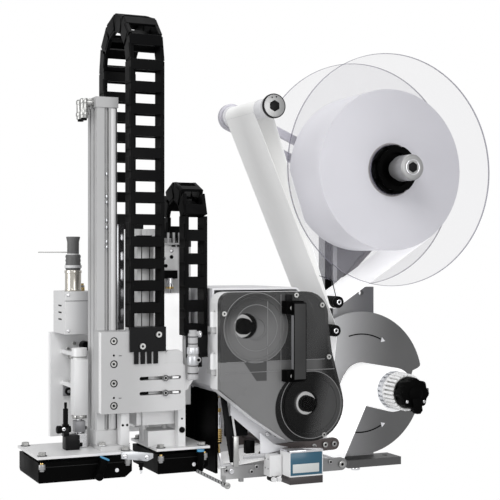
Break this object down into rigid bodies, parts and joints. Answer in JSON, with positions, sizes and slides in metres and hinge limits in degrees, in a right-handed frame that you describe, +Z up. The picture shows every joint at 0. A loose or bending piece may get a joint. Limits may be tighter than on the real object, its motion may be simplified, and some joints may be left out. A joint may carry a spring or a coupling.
{
  "type": "label printer applicator",
  "caption": "Print and apply labeller with a supply reel, dancer arm, ribbon print unit, liner rewinder and a twin-pad tamp unit carried on a sliding column with cable chains.",
  "frame": {"origin": "centre of the four mounting holes on the rear face of the back plate", "axes": "+X to the right along the line, +Y from the front towards the back plate's rear side, +Z up"},
  "size_m": [0.739, 0.234, 0.7048],
  "materials": {
    "aluminium": "satin anodised",
    "steel": "ground",
    "black_plastic": "fine matt",
    "paper": "smooth label stock",
    "clear_acrylic": "clear, polished edge",
    "smoky_cover": "smoky translucent",
    "white_paint": "satin paint",
    "grey_paint": "satin paint",
    "black_metal": "black anodised",
    "bronze": "satin",
    "brass": "polished",
    "rubber": "matt",
    "teal_panel": "satin"
  },
  "bodies": {
    "machine": {"back_plate": "aluminium", "base_foot": "aluminium", "reel_post": "aluminium", "plate_spindles": "steel", "label_web": "paper", "web_back_run": "paper", "web_front_run": "paper", "printer_housing": "white_paint", "printer_frame": "grey_paint", "cover_hinge": "steel", "peel_beams": "aluminium", "nip_arms": "bronze", "badge_box": "teal_panel", "blow_tube": "steel", "side_guard": "black_metal", "tension_spring": "brass", "lift_post": "aluminium", "valve_box": "grey_paint", "drive_cylinder": "white_paint", "tall_chain_anchor": "black_metal", "tall_back_strand": "black_plastic"},
    "reel": {"reel_axle": "steel", "reel_hub": "black_plastic", "label_roll": "paper", "reel_discs": "clear_acrylic"},
    "dancer": {"dancer_arm": "aluminium", "dancer_web": "paper"},
    "dancer_roller": {"dancer_roller": "white_paint"},
    "upper_guide": {"upper_guide_roller": "black_plastic"},
    "lower_guide": {"lower_guide_roller": "black_plastic"},
    "nip_roller": {"nip_roller": "rubber"},
    "peel_roller": {"peel_roller": "steel"},
    "liner_roller": {"liner_roller": "steel"},
    "rewinder": {"rewind_disc": "aluminium", "rewind_mandrel": "aluminium", "rewind_liner": "paper", "rewind_knob": "black_plastic"},
    "ribbon_supply": {"ribbon_supply": "black_plastic"},
    "ribbon_rewind": {"ribbon_rewind": "black_plastic"},
    "cover": {"printer_cover": "smoky_cover", "cover_handle": "black_plastic", "cover_screws": "steel"},
    "tamp_carriage": {"drive_rod": "steel", "tamp_column": "aluminium", "slotted_plate": "aluminium", "slide_block": "aluminium", "plate_screws": "steel", "pad_2_cylinder": "aluminium", "pad_plate_1": "steel", "chain_clamps": "black_metal", "tall_front_strand": "black_plastic", "short_back_strand": "black_plastic"},
    "tall_loop": {"tall_chain_loop": "black_plastic"},
    "pad_1": {"pad_box_1": "black_plastic"},
    "pad_2_lift": {"pad_plate_2": "steel", "short_chain_clamp": "black_metal", "regulator": "steel", "short_front_strand": "black_plastic"},
    "pad_2": {"pad_box_2": "black_plastic"},
    "short_loop": {"short_chain_loop": "black_plastic"}
  },
  "joints": [
    {"name": "reel_spin", "type": "hinge", "parent": "machine", "child": "reel", "pos_m": [0.051, -0.106, 0.235], "axis": [0, 1, 0], "continuous": true},
    {"name": "dancer_swing", "type": "hinge", "parent": "machine", "child": "dancer", "pos_m": [0.011, -0.042, 0.24], "axis": [0, 1, 0], "range_deg": [-25, 10], "stiffness_Nm_per_rad": 6, "springref_deg": 20.05, "deforming": ["web_back_run", "web_front_run"]},
    {"name": "dancer_roller_spin", "type": "hinge", "parent": "dancer", "child": "dancer_roller", "pos_m": [-0.17, -0.106, 0.318], "axis": [0, 1, 0], "continuous": true},
    {"name": "upper_guide_spin", "type": "hinge", "parent": "machine", "child": "upper_guide", "pos_m": [-0.049, -0.106, 0.032], "axis": [0, 1, 0], "continuous": true},
    {"name": "lower_guide_spin", "type": "hinge", "parent": "machine", "child": "lower_guide", "pos_m": [-0.054, -0.106, -0.011], "axis": [0, 1, 0], "continuous": true},
    {"name": "nip_roller_spin", "type": "hinge", "parent": "machine", "child": "nip_roller", "pos_m": [-0.072, -0.106, -0.181], "axis": [0, 1, 0], "continuous": true},
    {"name": "peel_roller_spin", "type": "hinge", "parent": "machine", "child": "peel_roller", "pos_m": [-0.224, -0.106, -0.21], "axis": [0, 1, 0], "continuous": true},
    {"name": "liner_roller_spin", "type": "hinge", "parent": "machine", "child": "liner_roller", "pos_m": [-0.043, -0.106, -0.2125], "axis": [0, 1, 0], "continuous": true},
    {"name": "rewind_spin", "type": "hinge", "parent": "machine", "child": "rewinder", "pos_m": [0.055, -0.106, -0.106], "axis": [0, 1, 0], "continuous": true},
    {"name": "ribbon_supply_spin", "type": "hinge", "parent": "machine", "child": "ribbon_supply", "pos_m": [-0.203, -0.106, -0.001], "axis": [0, 1, 0], "continuous": true},
    {"name": "ribbon_rewind_spin", "type": "hinge", "parent": "machine", "child": "ribbon_rewind", "pos_m": [-0.114, -0.106, -0.115], "axis": [0, 1, 0], "continuous": true},
    {"name": "cover_hinge", "type": "hinge", "parent": "machine", "child": "cover", "pos_m": [-0.2605, -0.188, 0], "axis": [0, 0, -1], "range_deg": [0, 90]},
    {"name": "tamp_slide", "type": "slide", "parent": "machine", "child": "tamp_carriage", "axis": [0, 0, -1], "range_m": [0, 0.08], "deforming": ["tall_front_strand", "tall_back_strand"]},
    {"name": "tall_loop_slide", "type": "slide", "parent": "tamp_carriage", "child": "tall_loop", "axis": [0, 0, 1], "range_m": [0, 0.04]},
    {"name": "pad_1_float", "type": "slide", "parent": "tamp_carriage", "child": "pad_1", "axis": [0, 0, 1], "range_m": [0, 0.004], "stiffness_N_per_m": 1500, "springref_m": -0.004},
    {"name": "pad_2_slide", "type": "slide", "parent": "tamp_carriage", "child": "pad_2_lift", "axis": [0, 0, -1], "range_m": [0, 0.03], "deforming": ["short_front_strand", "short_back_strand"]},
    {"name": "pad_2_float", "type": "slide", "parent": "pad_2_lift", "child": "pad_2", "axis": [0, 0, 1], "range_m": [0, 0.004], "stiffness_N_per_m": 1200, "springref_m": -0.004},
    {"name": "short_loop_slide", "type": "slide", "parent": "pad_2_lift", "child": "short_loop", "axis": [0, 0, 1], "range_m": [0, 0.015]}
  ],
  "couplings": [
    {"joint": "upper_guide_spin", "follows": "nip_roller_spin", "ratio": 0.88889},
    {"joint": "lower_guide_spin", "follows": "nip_roller_spin", "ratio": 0.88889},
    {"joint": "dancer_roller_spin", "follows": "nip_roller_spin", "ratio": -0.57143},
    {"joint": "peel_roller_spin", "follows": "nip_roller_spin", "ratio": -2},
    {"joint": "liner_roller_spin", "follows": "nip_roller_spin", "ratio": -1.3333},
    {"joint": "tall_loop_slide", "follows": "tamp_slide", "ratio": 0.5},
    {"joint": "short_loop_slide", "follows": "pad_2_slide", "ratio": 0.5}
  ]
}
